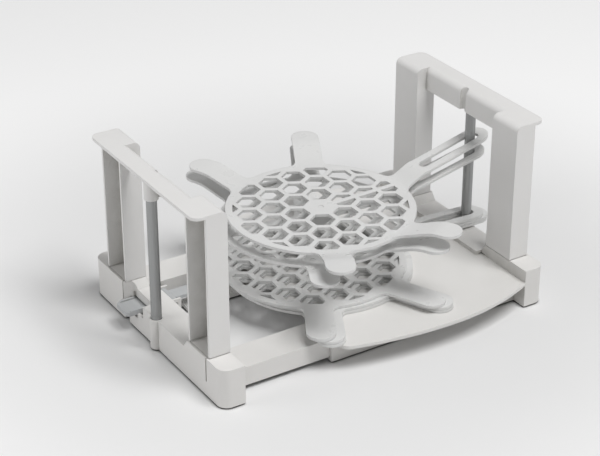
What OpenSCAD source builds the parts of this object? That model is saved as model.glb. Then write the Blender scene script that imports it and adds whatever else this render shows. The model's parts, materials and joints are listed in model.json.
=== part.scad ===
// Rack: two end frames on a base whose halves slide into each other, with star-shaped
// separators that travel on the right-hand guide rod.
// X runs along the rack, Y from front to back, Z up. All sizes are in millimetres.

/* [Rack] */
// Clear length between the inner faces of the two end frames
inner_span = 246.4; // [236:0.2:256]
// Height of the frames' tops above the table
frame_top = 144; // [132:1:165]
// Gap under the base, left by the rubber feet
foot_gap = 1.2; // [0.8:0.1:2]

/* [End frames] */
// Clear width between the two uprights of a frame
window_w = 97; // [90:0.5:104]
// Width of one upright
upright_w = 29.5; // [26:0.5:33]
// Depth of an upright, from its inner face to the edges of its flanges
upright_depth = 16.8; // [15:0.1:19]
// Wall of the uprights and of the top bar
frame_wall = 2; // [1.6:0.1:2.4]
// How far the top lip stands out past the flanges
lip_overhang = 9.2; // [7:0.1:11]
// Thickness of the top lip
lip_t = 2.4; // [1.8:0.1:3]
// Corner radius of the lip, seen from above
lip_corner_r = 6.5; // [4:0.5:8]
// Radius along the inner top edge
top_round = 5; // [3.5:0.1:6]
// How far the top bar stands back from the uprights' inner faces
bar_set_back = 8.6; // [7:0.1:10]
// Height of the top bar
bar_h = 18.5; // [16:0.5:22]
// Radius of the finger notch in the middle of the bar
notch_r = 3.6; // [2.5:0.1:4]
// How far the notch's centre stands back from the bar's face
notch_back = 0.6; // [0.2:0.1:1.2]
// Wall of the tenons under the uprights
tenon_wall = 1.4; // [1.1:0.1:1.6]
// How far a tenon stands in from its upright's faces
tenon_inset = 1.6; // [1.4:0.1:1.8]
// Depth of a tenon in its socket
tenon_h = 20; // [14:0.5:22]
// Clearance round a tenon
tenon_gap = 0.15; // [0.1:0.01:0.25]

/* [Base] */
// Height of the blocks that the uprights stand on
block_h = 32; // [30:0.5:36]
// Height of the cross member between the uprights
middle_h = 25.5; // [24.5:0.1:27.5]
// Length of each block past its upright, towards the front and the back
block_reach = 20.5; // [19:0.5:24]
// How far the outer wall stands out past the flanges
wall_proud = 1.8; // [1.2:0.1:2.4]
// How far the cross member reaches in past the frame's inner face
middle_reach = 5.2; // [4:0.1:7]
// Run of the slope between the cross member and a block
ramp_run = 4.8; // [3:0.1:6]
// Corner radius of the blocks, seen from above
block_corner_r = 8; // [5:0.5:9]
// Wall of the base mouldings
base_wall = 2.4; // [2:0.1:2.8]
// Width of the slots beside the flanges in the outer wall
relief_w = 1.3; // [1:0.1:1.6]
// Depth of those slots
relief_h = 19; // [12:0.5:22]

/* [Sliding base] */
// Height of the right half's deck
deck_top = 22.2; // [21.8:0.1:24]
// Thickness of the deck
deck_t = 2.6; // [2:0.1:3]
// Length of the deck from the right frame's inner face
deck_len = 166.8; // [150:0.2:176]
// How far the deck's long edges bow out past the blocks
deck_bow = 16.3; // [8:0.1:20]
// Place of the widest point, from the right frame's inner face
bow_back = 77.2; // [70:0.2:84]
// Corner radius at the deck's free end
deck_corner_r = 6; // [3:0.5:8]
// Distance between the outer faces of the two rails
rail_span = 166.5; // [156:0.5:170]
// Width of one rail
rail_w = 27.85; // [22:0.05:30]
// Length of the rails from the left frame's inner face
rail_len = 183; // [165:1:195]
// Height of the rails' lower edges
rail_low = 4.2; // [3.8:0.1:6]
// Wall of the rails
rail_wall = 2; // [1.6:0.1:2.2]
// Clearance between the rails and their channels
rail_gap = 0.35; // [0.3:0.01:0.5]
// Width of the ledges that hold the rails up
ledge_w = 3.2; // [2:0.1:4]
// Travel of the right half towards the left
close_travel = 40; // [20:1:42]
// Travel of the right half outwards
open_travel = 15; // [5:1:18]

/* [Guide rods] */
// Diameter of a guide rod
rod_d = 8; // [7:0.1:8.6]
// Bore of a guide rod
rod_bore = 4.1; // [3.4:0.1:4.4]
// Distance of a rod's axis past the flanges' edges
rod_outset = 0.3; // [0:0.1:1]
// Diameter of the bosses that hold a rod
boss_d = 10.6; // [10.2:0.1:12]
// Height of the foot boss
foot_boss_h = 26; // [24:0.5:30]
// Length of the boss under the lip
top_boss_h = 18; // [12:0.5:22]
// Radial clearance of a rod in its bosses
rod_fit = 0.05; // [0.03:0.01:0.08]
// Height of a rod's lower end
rod_low = 12; // [9:0.5:16]
// Wall above a rod's upper end
rod_cover = 5; // [4:0.1:7]

/* [Release lever] */
// Middle of the lever, from the front-to-back middle of the rack
lever_y = 38.2; // [37.6:0.1:38.8]
// Width of the lever
lever_w = 19.2; // [18:0.1:20]
// Gap between the lever and the far end of its pocket
lever_side_gap = 1.1; // [0.6:0.1:1.4]
// Height of the lever's top face
lever_top = 17.3; // [16.8:0.1:17.6]
// Thickness of the lever
lever_t = 3; // [2.4:0.1:3.4]
// How far the thumb tab stands out past the outer wall
tab_proud = 8.2; // [7:0.1:9]
// Depth of the pocket round the tab
pocket_depth = 8.8; // [8:0.1:9.5]
// Height of the pocket's floor
pocket_floor = 7.7; // [7:0.1:8]
// Width of the pocket
pocket_w = 29.9; // [27:0.1:32]
// Height of the pocket's outer edge beside the lever
side_edge_z = 15.2; // [13:0.1:17]
// Height of the pocket's outer edge under the lever
low_edge_z = 11.3; // [9:0.1:11.6]
// Distance of the pin from the left frame's inner face
pin_reach = 13.2; // [12:0.1:15]
// Diameter of the lever's pin
pin_d = 3; // [2.5:0.1:3.2]
// Distance of the clamping pad from the pin
pad_reach = 31; // [28:0.5:33]
// Running gap of the pad over the locking strip
pad_gap = 0.3; // [0.25:0.01:0.5]

/* [Stars] */
// Radius of a star's round middle
disc_r = 72; // [66:0.5:74]
// Thickness of a star
star_t = 2.2; // [1.8:0.1:2.6]
// Pitch of the honeycomb
cell_pitch = 20.7; // [19:0.1:22]
// Width of the honeycomb's ribs
rib_w = 3.8; // [2.5:0.1:5]
// Width of the plain ring round the honeycomb
ring_w = 5.5; // [4:0.1:7]
// Width of the bar that stiffens the honeycomb towards the fork
strap_w = 4.4; // [3:0.1:6]
// Distance of the fingers' tips from the middle
finger_r = 116; // [105:0.5:118]
// Width of a finger
finger_w = 21.6; // [18:0.1:23]
// Angle of the two fingers nearest the fork
near_finger_a = 63.3; // [58:0.1:66]
// Angle of the two fingers furthest from the fork
far_finger_a = 116.3; // [112:0.1:122]
// Distance from a star's middle to the rod
fork_reach = 140.5; // [138:0.1:143]
// Width of one tine of the fork
tine_w = 6.5; // [4.5:0.1:7]
// Clearance on each side of the rod in the fork
fork_gap = 0.3; // [0.25:0.01:0.5]
// Length of the fork past the rod's axis
fork_past = 15; // [13:0.1:17]
// Wall between the slot's end and the fork's end
fork_end_wall = 7.9; // [6:0.1:9]
// Distance from a star's middle to the start of its slot
slot_start = 92.3; // [84:0.1:98]
// Height of the hold-down star's top face
hold_down_z = 79.6; // [72:0.1:84]
// Drop from the hold-down star to the separator star
star_drop = 12.6; // [11.8:0.1:16]
// Rise of the fingers of a star in use
finger_rise = 8.6; // [5:0.1:10]
// Distance from a star's middle to the top of its fingers' rise
finger_knee = 102; // [96:0.5:108]
// Rise of the fork of a star in use
fork_rise = 9.2; // [6:0.1:11]
// Distance from a star's middle to the top of its fork's rise
fork_knee = 93; // [88:0.5:98]
// Slope of the fork beyond that
fork_slope = 0.24; // [0.1:0.01:0.3]
// Rise of a stored star's fork over the cross member
stored_rise = 4.8; // [4.6:0.1:6]
// Distance from a stored star's middle to the top of its fork's rise
stored_knee = 111; // [104:0.5:112]
// Gap between stored stars
stack_gap = 0.2; // [0.15:0.01:0.3]

/* [Hidden] */
$fn = 96;
// A little more than nothing, for cuts that pass right through
e = 0.01;
// Wall inside a socket, next to the tenon
socket_wall = 1.85;
far = 400;

// Places along X, on the right-hand side
face_x = inner_span / 2;
flange_x = face_x + upright_depth;
wall_x = flange_x + wall_proud;
lip_x = flange_x + lip_overhang;
bar_x = face_x + bar_set_back;
rod_x = flange_x + rod_outset;
middle_x = face_x - middle_reach;
tab_x = wall_x + tab_proud;
// How far each star stands towards the right from its middle place, and its turn about the rod
separator_slide = -2.9;
separator_turn = -1.5;
hold_down_turn = 1.2;
stored_slides = [3.4, 3.5, -0.9];
stored_turns = [-1.7, -1.9, -2.8];
fork_end_x = rod_x + fork_past + max(stored_slides);
// The origin lies under the middle of the whole rack
origin_shift = (tab_x - fork_end_x) / 2;

// Places along Y
window_y = window_w / 2;
upright_y = window_y + upright_w;
block_y = upright_y + block_reach;
rail_y = rail_span / 2;
rail_in_y = rail_y - rail_w;
channel_y = rail_y + rail_gap;
skirt_y = channel_y + base_wall;
rib_y = rail_in_y - rail_gap;
deck_y = block_y + deck_bow;

// Heights
deck_low = deck_top - deck_t;
rail_top = deck_low - rail_gap;
ledge_top = rail_low - rail_gap;
bar_low = frame_top - bar_h;
lip_low = frame_top - lip_t;
boss_top_z = frame_top - lip_t;
tenon_low = block_h - tenon_h;
rod_high = frame_top - rod_cover;
rod_r = rod_d / 2;
boss_r = boss_d / 2;

// Bowed edges of the deck: one arc each side of the widest point
bow_x = face_x - bow_back;
deck_end_x = face_x - deck_len;
short_arc_r = (bow_back * bow_back + deck_bow * deck_bow) / (2 * deck_bow);
long_arc_r = short_arc_r * 1.7;

// Lever, locking strip and their spring
lever_low = lever_top - lever_t;
pocket_end_y = lever_y + lever_w / 2 + lever_side_gap;
pocket_start_y = pocket_end_y - pocket_w;
pocket_corner_r = 5;
side_edge_end = lever_y - lever_w / 2 - 0.4;
edge_fillet_r = 4;
pocket_x = wall_x - pocket_depth;
floor_t = 1.7;
well_w = 7.1;
lever_slot_gap = 0.8;
lever_slot_top = lever_top + 1.3;
rim_w = 1.8;
rim_h = 1.1;
tab_corner_r = 3;
pin_x = -(face_x - pin_reach);
pin_z = lever_low + 0.3;
pin_r = pin_d / 2;
pin_fit = 0.03;
lever_fit = 0.08;
hub_r = pin_r + 1.7;
ear_t = 2;
ear_gap = 0.4;
ear_h = 7.6;
pad_w = 12;
pad_l = 6;
strip_low = foot_gap + 0.6;
strip_t = 3;
strip_w = 14;
strip_reach = 54.4;
strip_root = 26;
web_back = 10;
tooth_h = 0.5;
tooth_l = 1.1;
tooth_pitch = 2.5;
strip_top = strip_low + strip_t;
tooth_top = strip_top + tooth_h;
pad_low = tooth_top + pad_gap;
spring_x = -(pocket_x - 6);
spring_y = lever_y - 3.4;
spring_r = 2.8;
wire_r = 0.45;
spring_turns = 4;
spring_clear = 0.2;
shelf_x = pocket_x - 12;

// Feet and screws
foot_r = 6;
foot_t = 2.8;
foot_seat = 0.1;
foot_wall = 1.6;
post_r = foot_r + foot_wall;
foot_x = (face_x + wall_x) / 2;
foot_y = (upright_y + block_y) / 2;
screw_r = rod_bore / 2 - 0.05;
screw_head_r = 3.2;
screw_head_h = 2;
screw_bite = 16;
screw_sink = 2.8;
stop_x = 0;
stop_z = rail_low + 7.3;
stop_r = 1.5;
stop_head_r = 3;
stop_head_h = 1.8;
stop_reach = 2.6;
stop_slot_gap = 0.3;

// Stars
slot_r = rod_r + fork_gap;
fork_r = slot_r + tine_w;
fork_nose = fork_reach + fork_past - fork_r;
slot_nose = fork_reach + fork_past - fork_end_wall - slot_r;
root_fillet_r = 7;
arm_steps = 7;
rise_start = disc_r - 4;
stack_z = deck_top + stack_gap;

// Moves a piece from the frame's middle to the rack's origin
module placed() {
    translate([origin_shift, 0, 0]) children();
}

// Turns a piece drawn at the right-hand end into its left-hand twin
module on_left() {
    mirror([1, 0, 0]) children();
}

// A flat XZ outline drawn out from y0 to y1
module along_y(y0, y1) {
    translate([0, y1, 0]) rotate([90, 0, 0]) linear_extrude(y1 - y0) children();
}

// A flat YZ outline drawn out from x0 to x1
module along_x(x0, x1) {
    translate([x0, 0, 0]) rotate([90, 0, 90]) linear_extrude(x1 - x0) children();
}

// A block between two corners
module slab(x0, x1, y0, y1, z0, z1) {
    translate([x0, y0, z0]) cube([x1 - x0, y1 - y0, z1 - z0]);
}

// An upright rectangle in XZ whose inner top corner is round
module round_top(x0, x1, z0, z1, r) {
    translate([x0, z0]) square([x1 - x0, z1 - z0 - r]);
    translate([x0 + r, z0]) square([x1 - x0 - r, z1 - z0]);
    translate([x0 + r, z1 - r]) circle(r);
}

// Plan of a tenon: a channel that opens to the outside
module tenon_plan(gap) {
    x0 = face_x + tenon_inset - gap;
    x1 = flange_x - tenon_inset + gap;
    y0 = window_y + tenon_inset - gap;
    y1 = upright_y - tenon_inset + gap;
    t = tenon_wall + 2 * gap;
    difference() {
        translate([x0, y0]) square([x1 - x0, y1 - y0]);
        translate([x0 + t, y0 + t]) square([x1 - x0, y1 - y0 - 2 * t]);
    }
}

// One upright: a channel that opens to the outside, with its tenon
module upright() {
    difference() {
        along_y(window_y, upright_y) round_top(face_x, flange_x, block_h, frame_top, top_round);
        along_y(window_y + frame_wall, upright_y - frame_wall)
            round_top(face_x + frame_wall, flange_x + e, block_h - e, lip_low, top_round - frame_wall);
    }
    translate([0, 0, tenon_low]) linear_extrude(tenon_h + e) tenon_plan(0);
}

// Plan of the top lip, with its round outer corners
module lip_plan() {
    inner = face_x + top_round;
    difference() {
        union() {
            translate([inner, -upright_y]) square([lip_x - lip_corner_r - inner, 2 * upright_y]);
            translate([inner, -upright_y + lip_corner_r])
                square([lip_x - inner, 2 * (upright_y - lip_corner_r)]);
            for (s = [-1, 1])
                translate([lip_x - lip_corner_r, s * (upright_y - lip_corner_r)]) circle(lip_corner_r);
        }
        translate([inner - e, -window_y]) square([bar_x + top_round - inner + e, window_w]);
    }
}

// The bar between the uprights: a web under a round edge
module top_bar() {
    web_x = bar_x + frame_wall;
    difference() {
        along_y(-window_y - e, window_y + e) round_top(bar_x, flange_x, bar_low, frame_top, top_round);
        along_y(-window_y - 1, window_y + 1)
            round_top(web_x, flange_x + 1, bar_low - 1, lip_low, top_round - frame_wall);
    }
}

// An end frame, drawn at the right-hand end
module end_frame() {
    difference() {
        union() {
            for (s = [0, 1]) mirror([0, s, 0]) upright();
            translate([0, 0, lip_low]) linear_extrude(lip_t) lip_plan();
            top_bar();
            // Wall round the notch and the boss for the rod
            intersection() {
                translate([bar_x + notch_back, 0, bar_low]) cylinder(r = notch_r + frame_wall, h = bar_h - lip_t + e);
                slab(bar_x + frame_wall / 2, lip_x, -far, far, 0, far);
            }
            translate([rod_x, 0, boss_top_z - top_boss_h]) cylinder(r = boss_r, h = top_boss_h + e);
        }
        translate([bar_x + notch_back, 0, bar_low - 1]) cylinder(r = notch_r, h = bar_h + 2);
        slab(bar_x - far, bar_x + notch_back, -notch_r, notch_r, bar_low - 1, frame_top + 1);
        translate([rod_x, 0, 0]) cylinder(r = rod_r + rod_fit, h = rod_high);
    }
}

// Plan of a cross member at the right-hand end
module member_plan() {
    w = wall_x - face_x;
    translate([face_x, -block_y]) square([w - block_corner_r, 2 * block_y]);
    translate([face_x, -block_y + block_corner_r]) square([w, 2 * (block_y - block_corner_r)]);
    for (s = [-1, 1])
        translate([wall_x - block_corner_r, s * (block_y - block_corner_r)]) circle(block_corner_r);
    translate([middle_x, -window_y + ramp_run]) square([w, 2 * (window_y - ramp_run)]);
}

// Side view of a cross member: low in the middle, high under the uprights
module member_side() {
    low_y = window_y - ramp_run;
    polygon([
        [-block_y, foot_gap], [block_y, foot_gap], [block_y, block_h], [window_y, block_h],
        [low_y, middle_h], [-low_y, middle_h], [-window_y, block_h], [-block_y, block_h]
    ]);
}

// Hollow under one block's end, past the upright
module block_hollow() {
    r = block_corner_r - base_wall;
    x0 = face_x + base_wall;
    x1 = wall_x - base_wall;
    y0 = upright_y + 0.5;
    y1 = block_y - base_wall;
    difference() {
        translate([0, 0, foot_gap - e]) linear_extrude(block_h - base_wall - foot_gap) {
            translate([x0, y0]) square([x1 - x0 - r, y1 - y0]);
            translate([x0, y0]) square([x1 - x0, y1 - y0 - r]);
            translate([x1 - r, y1 - r]) circle(r);
        }
        translate([foot_x, foot_y, 0]) cylinder(r = post_r, h = far);
    }
}

// Hollows inside a socket and under the middle
module member_hollows() {
    wall = tenon_inset + tenon_wall + tenon_gap + socket_wall;
    for (s = [0, 1]) mirror([0, s, 0]) {
        block_hollow();
        slab(face_x + wall, wall_x - base_wall, window_y + wall, upright_y - wall,
            foot_gap - e, block_h - base_wall);
    }
    slab(middle_x + base_wall, wall_x - base_wall, -window_y + 0.7, window_y - 0.7,
        foot_gap - e, middle_h - base_wall);
}

// A cross member with its sockets, foot boss and foot seats, drawn at the right-hand end.
// relief_side is 1 where the slots lie on the rear flanges, and -1 on the front ones
module cross_member(relief_side) {
    difference() {
        union() {
            difference() {
                intersection() {
                    translate([0, 0, foot_gap]) linear_extrude(block_h) member_plan();
                    along_x(0, far) member_side();
                }
                member_hollows();
            }
            translate([rod_x, 0, foot_gap]) cylinder(r = boss_r, h = foot_boss_h - foot_gap);
        }
        for (s = [0, 1]) mirror([0, s, 0]) {
            translate([0, 0, tenon_low - tenon_gap]) linear_extrude(far) tenon_plan(tenon_gap);
            translate([foot_x, foot_y, 0]) cylinder(r = foot_r + foot_seat, h = foot_t + foot_seat);
        }
        for (y = [relief_side * (upright_y - tenon_inset - relief_w / 2),
                  -relief_side * (window_y + tenon_inset + relief_w / 2)])
            slab(flange_x, far, y - relief_w / 2, y + relief_w / 2, block_h - relief_h, far);
        // Rod socket, screw hole and the recess for the screw's head
        translate([rod_x, 0, rod_low]) cylinder(r = rod_r + rod_fit, h = far);
        translate([rod_x, 0, -e]) cylinder(r = screw_r + 0.15, h = far);
        translate([rod_x, 0, -e]) cylinder(r = screw_head_r + 0.2, h = foot_gap + screw_sink + e);
    }
}

// One rail of the left half, drawn at the back: a channel with a closed end
module rail() {
    x0 = -face_x - e;
    x1 = -face_x + rail_len;
    stop_half = stop_r + stop_slot_gap;
    difference() {
        slab(x0, x1, rail_in_y, rail_y, rail_low, rail_top);
        slab(x0 - 1, x1 - rail_wall, rail_in_y + rail_wall, rail_y - rail_wall,
            rail_low - 1, rail_top - rail_wall);
        // Slot that the stop screw runs in
        slab(stop_x - close_travel - stop_half, stop_x + open_travel + stop_half,
            rail_in_y - 1, rail_in_y + rail_wall + 1, stop_z - stop_half, stop_z + stop_half);
    }
}

// Plan of the pocket round the thumb tab, with round inner corners
module pocket_plan() {
    r = pocket_corner_r;
    x0 = -wall_x - 1;
    x1 = -pocket_x;
    translate([x0, pocket_start_y]) square([x1 - x0 - r, pocket_w]);
    translate([x0, pocket_start_y + r]) square([x1 - x0, pocket_w - 2 * r]);
    for (y = [pocket_start_y + r, pocket_end_y - r]) translate([x1 - r, y]) circle(r);
}

// Outer edge of the pocket: higher beside the lever, low under it, and round where it meets the wall
module pocket_edge() {
    y0 = pocket_start_y - e;
    r = edge_fillet_r;
    along_x(-wall_x, -wall_x + base_wall) {
        translate([y0, pocket_floor - e]) square([side_edge_end - y0, side_edge_z - pocket_floor + e]);
        translate([side_edge_end - e, pocket_floor - e])
            square([pocket_end_y - well_w - side_edge_end + e, low_edge_z - pocket_floor + e]);
        difference() {
            translate([y0, side_edge_z - e]) square([r + e, r + e]);
            translate([pocket_start_y + r, side_edge_z + r]) circle(r);
        }
    }
}

// Two ears that carry the lever's pin
module pin_ears() {
    inner = lever_w / 2 + ear_gap;
    ear_x = pin_x + hub_r + 1;
    for (y = [lever_y - inner - ear_t, lever_y + inner])
        difference() {
            slab(y < lever_y ? -middle_x - base_wall : -face_x - base_wall / 2, ear_x, y, y + ear_t,
                pin_z - ear_h / 2, pin_z + ear_h / 2);
            translate([pin_x, y - 1, pin_z]) rotate([-90, 0, 0]) cylinder(r = pin_r + pin_fit, h = ear_t + 2);
        }
}

module left_base_half() color("gainsboro") placed() {
    difference() {
        union() {
            difference() {
                on_left() cross_member(-1);
                translate([0, 0, pocket_floor]) linear_extrude(far) pocket_plan();
            }
            // Wall behind the pocket, and the shelf that is the pocket's floor and the spring's seat
            slab(-pocket_x - e, -pocket_x + base_wall, pocket_start_y - base_wall, window_y,
                pocket_floor - floor_t, middle_h - e);
            slab(-wall_x + e, -shelf_x, pocket_start_y - base_wall, pocket_end_y - well_w,
                pocket_floor - floor_t, pocket_floor);
            slab(-wall_x + e, -pocket_x, pocket_start_y - base_wall, pocket_start_y, pocket_floor - e, middle_h - e);
            pocket_edge();
            pin_ears();
        }
        // Well beside the shelf, down to the table
        slab(-far, -pocket_x, pocket_end_y - well_w, pocket_end_y, 0, pocket_floor + e);
        // Way for the lever through both inner walls, and for the locking strip under it
        slab(-pocket_x - pocket_corner_r, -middle_x + 1, lever_y - lever_w / 2 - lever_slot_gap,
            pocket_end_y, pocket_floor + e, lever_slot_top);
        slab(-middle_x - base_wall - 1, -middle_x + 1, lever_y - strip_w / 2 - 1,
            lever_y + strip_w / 2 + 1, 0, pocket_floor + 1);
    }
    for (s = [0, 1]) mirror([0, s, 0]) rail();
}

// Plan of the deck with its bowed edges
module deck_plan() {
    difference() {
        for (s = [0, 1]) mirror([0, s, 0]) {
            intersection() {
                translate([bow_x - e, 0]) square([face_x - bow_x + 2 * e, far]);
                translate([bow_x, deck_y - short_arc_r]) circle(short_arc_r, $fn = 240);
            }
            intersection() {
                translate([deck_end_x, 0]) square([bow_x - deck_end_x, far]);
                translate([bow_x, deck_y - long_arc_r]) circle(long_arc_r, $fn = 240);
            }
        }
        for (s = [0, 1]) mirror([0, s, 0]) deck_corner_cut();
    }
}

// What the corner radius takes off the deck's free end
module deck_corner_cut() {
    run = bow_x - deck_end_x;
    edge_y = deck_y - long_arc_r + sqrt(long_arc_r * long_arc_r - run * run);
    r = deck_corner_r;
    difference() {
        translate([deck_end_x - 1, edge_y - r]) square([r + 1, r + 4]);
        translate([deck_end_x + r, edge_y - r]) circle(r);
    }
}

// The strip that the lever's pad clamps, with fine teeth
module locking_strip() {
    x0 = deck_end_x - strip_reach;
    x1 = deck_end_x + strip_root;
    y0 = lever_y - strip_w / 2;
    slab(x0, x1, y0, y0 + strip_w, strip_low, strip_top);
    for (x = [x0 + 1 : tooth_pitch : deck_end_x + web_back - tooth_pitch])
        slab(x, x + tooth_l, y0 + 1, y0 + strip_w - 1, strip_top - e, tooth_top);
    for (y = [y0, y0 + strip_w - base_wall])
        slab(deck_end_x + web_back, x1, y, y + base_wall, strip_low, deck_low + e);
}

module right_base_half() color("gainsboro") placed() {
    difference() {
        union() {
            cross_member(1);
            translate([0, 0, deck_low]) linear_extrude(deck_t) deck_plan();
            for (s = [0, 1]) mirror([0, s, 0]) {
                slab(deck_end_x, face_x + e, channel_y, skirt_y, foot_gap, deck_low + e);
                slab(deck_end_x, face_x + e, channel_y - ledge_w, channel_y, foot_gap, ledge_top);
                slab(deck_end_x, face_x + e, rib_y - base_wall, rib_y, rail_low, deck_low + e);
            }
            locking_strip();
        }
        for (s = [0, 1]) mirror([0, s, 0])
            translate([stop_x, rib_y - base_wall - 1, stop_z]) rotate([-90, 0, 0])
                cylinder(r = stop_r + pin_fit, h = base_wall + 2);
    }
}

module left_end_frame() color("whitesmoke") placed() {
    on_left() end_frame();
}

module right_end_frame() color("whitesmoke") placed() {
    end_frame();
}

// A guide rod: a plain tube between the two bosses
module guide_rod() {
    difference() {
        translate([rod_x, 0, rod_low]) cylinder(r = rod_r, h = rod_high - rod_low);
        translate([rod_x, 0, rod_low - 1]) cylinder(r = rod_bore / 2, h = rod_high);
    }
}

module left_guide_rod() color("darkgray") placed() {
    on_left() guide_rod();
}

module right_guide_rod() color("darkgray") placed() {
    guide_rod();
}

// The screw that holds a rod in its foot boss, with a cross recess in its head
module rod_screw() {
    head_z = foot_gap + screw_sink - screw_head_h;
    difference() {
        union() {
            translate([rod_x, 0, head_z]) cylinder(r = screw_head_r, h = screw_head_h);
            translate([rod_x, 0, head_z]) cylinder(r = screw_r, h = rod_low + screw_bite - head_z);
        }
        for (a = [0, 90]) translate([rod_x, 0, head_z]) rotate(a) cube([3.2, 0.8, 2.4], center = true);
    }
}

module left_rod_screw() color("silver") placed() {
    on_left() rod_screw();
}

module right_rod_screw() color("silver") placed() {
    rod_screw();
}

// A rubber foot: a round pad with a shallow dish in its sole
module foot_at(sx, sy) {
    dish_r = 3.4;
    translate([sx * foot_x, sy * foot_y, 0]) difference() {
        cylinder(r = foot_r, h = foot_t);
        translate([0, 0, -e]) cylinder(r = dish_r, h = 0.5);
    }
}

module left_front_foot() color("dimgray") placed() {
    foot_at(-1, -1);
}

module left_rear_foot() color("dimgray") placed() {
    foot_at(-1, 1);
}

module right_front_foot() color("dimgray") placed() {
    foot_at(1, -1);
}

module right_rear_foot() color("dimgray") placed() {
    foot_at(1, 1);
}

// The lever: a thumb tab with two rims, an arm through the pocket wall, a hub and a pad
module release_lever() color("darkgray") placed() {
    y0 = lever_y - lever_w / 2;
    y1 = lever_y + lever_w / 2;
    r = tab_corner_r;
    arm_t = lever_t - 0.5;
    pad_x = pin_x + pad_reach;
    difference() {
        union() {
            translate([0, 0, lever_low]) linear_extrude(lever_t) {
                translate([-tab_x + r, y0]) square([tab_x - r + pin_x, lever_w]);
                translate([-tab_x, y0 + r]) square([r + e, lever_w - 2 * r]);
                for (y = [y0 + r, y1 - r]) translate([-tab_x + r, y]) circle(r);
            }
            for (y = [y0, y1 - rim_w])
                slab(-tab_x + r, -pocket_x - 1.5, y, y + rim_w, lever_top - e, lever_top + rim_h);
            slab(pin_x, pad_x + pad_l / 2, lever_y - pad_w / 2, lever_y + pad_w / 2, lever_low, lever_low + arm_t);
            slab(pad_x - pad_l / 2, pad_x + pad_l / 2, lever_y - pad_w / 2, lever_y + pad_w / 2,
                pad_low, lever_low + e);
            translate([pin_x, y0, pin_z]) rotate([-90, 0, 0]) cylinder(r = hub_r, h = lever_w);
        }
        translate([pin_x, y0 - 1, pin_z]) rotate([-90, 0, 0]) cylinder(r = pin_r + lever_fit, h = lever_w + 2);
    }
}

module lever_pin() color("silver") placed() {
    l = lever_w + 2 * (ear_gap + ear_t);
    translate([pin_x, lever_y - l / 2, pin_z]) rotate([-90, 0, 0]) cylinder(r = pin_r, h = l);
}

// A point on the spring's wire: a is the angle along the coil, b the angle round the wire
function coil_point(a, b, z0, climb) =
    let (r = spring_r + wire_r * cos(b))
    [r * cos(a), r * sin(a), z0 + climb * a / 360 + wire_r * sin(b)];

// The small coil spring under the lever
module lever_spring() color("silver") placed() {
    sides = 6;
    turn_rings = 20;
    rings = turn_rings * spring_turns;
    z0 = pocket_floor + wire_r;
    climb = (lever_low - spring_clear - pocket_floor - 2 * wire_r) / spring_turns;
    points = [for (i = [0 : rings], j = [0 : sides - 1])
        coil_point(i * 360 / turn_rings, j * 360 / sides, z0, climb)];
    walls = [for (i = [0 : rings - 1], j = [0 : sides - 1])
        let (k = (j + 1) % sides, a = i * sides + j, b = i * sides + k)
        each [[a, b + sides, b], [a, a + sides, b + sides]]];
    start = [for (j = [1 : sides - 2]) [0, j, j + 1]];
    last = rings * sides;
    end = [for (j = [1 : sides - 2]) [last, last + j + 1, last + j]];
    translate([spring_x, spring_y, 0]) polyhedron(points, concat(walls, start, end));
}

// The two screws that end the travel of the halves
module stop_screws() color("silver") placed() {
    for (s = [0, 1]) mirror([0, s, 0])
        translate([stop_x, rib_y - base_wall, stop_z]) rotate([-90, 0, 0]) {
            translate([0, 0, -stop_head_h]) cylinder(r = stop_head_r, h = stop_head_h);
            translate([0, 0, -stop_head_h / 2])
                cylinder(r = stop_r, h = stop_head_h / 2 + base_wall + rail_gap + stop_reach);
        }
}

// Plan of a round-ended arm along +X, with fillets where it leaves the disc
module arm_plan(half_w, nose) {
    f = root_fillet_r;
    cx = sqrt(pow(disc_r + f, 2) - pow(half_w + f, 2));
    share = disc_r / (disc_r + f);
    translate([disc_r - ring_w, -half_w]) square([nose - disc_r + ring_w, 2 * half_w]);
    translate([nose, 0]) circle(half_w);
    for (s = [-1, 1]) difference() {
        polygon([
            [cx * share, s * (half_w + f) * share], [cx, s * (half_w + f)],
            [cx, s * half_w], [disc_r - ring_w, s * half_w]
        ]);
        translate([cx, s * (half_w + f)]) circle(f);
    }
}

// Centres of the honeycomb's cells, with rows along the fork
function cell_centres() = [
    for (i = [-4 : 4], j = [-4 : 4])
        let (p = [cell_pitch * (i + j / 2), cell_pitch * j * sin(60)])
        if (norm(p) > 1 && norm(p) < disc_r + 1) p
];

// Plan of the star's flat middle
module disc_plan() {
    open_r = disc_r - ring_w;
    cell_r = (cell_pitch - rib_w) / sqrt(3);
    difference() {
        circle(disc_r, $fn = 144);
        intersection() {
            circle(open_r, $fn = 144);
            for (p = cell_centres()) translate(p) rotate(30) circle(cell_r, $fn = 6);
        }
    }
    translate([0, -strap_w / 2]) square([disc_r - 1, strap_w]);
}

// Height of an arm over the disc at radius r: a smooth rise up to the knee, then a steady slope
function arm_rise(r, knee, rise, slope) =
    let (t = min(1, max(0, (r - rise_start) / (knee - rise_start))))
    rise * t * t * (3 - 2 * t) + slope * max(0, r - knee);

// Side view of an arm out to radius b, as thick as the star
module arm_side(b, knee, rise, slope) {
    rs = concat([disc_r - ring_w],
        [for (i = [0 : arm_steps]) rise_start + (knee - rise_start) * i / arm_steps], [b]);
    polygon(concat(
        [for (r = rs) [r, arm_rise(r, knee, rise, slope)]],
        [for (i = [len(rs) - 1 : -1 : 0]) [rs[i], arm_rise(rs[i], knee, rise, slope) + star_t]]
    ));
}

// One arm of a star, bent as its side view says
module arm(half_w, nose, knee, rise, slope) {
    w = half_w + 2 * root_fillet_r;
    intersection() {
        translate([0, 0, -1]) linear_extrude(far) arm_plan(half_w, nose);
        along_y(-w, w) arm_side(nose + half_w + 1, knee, rise, slope);
    }
}

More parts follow.
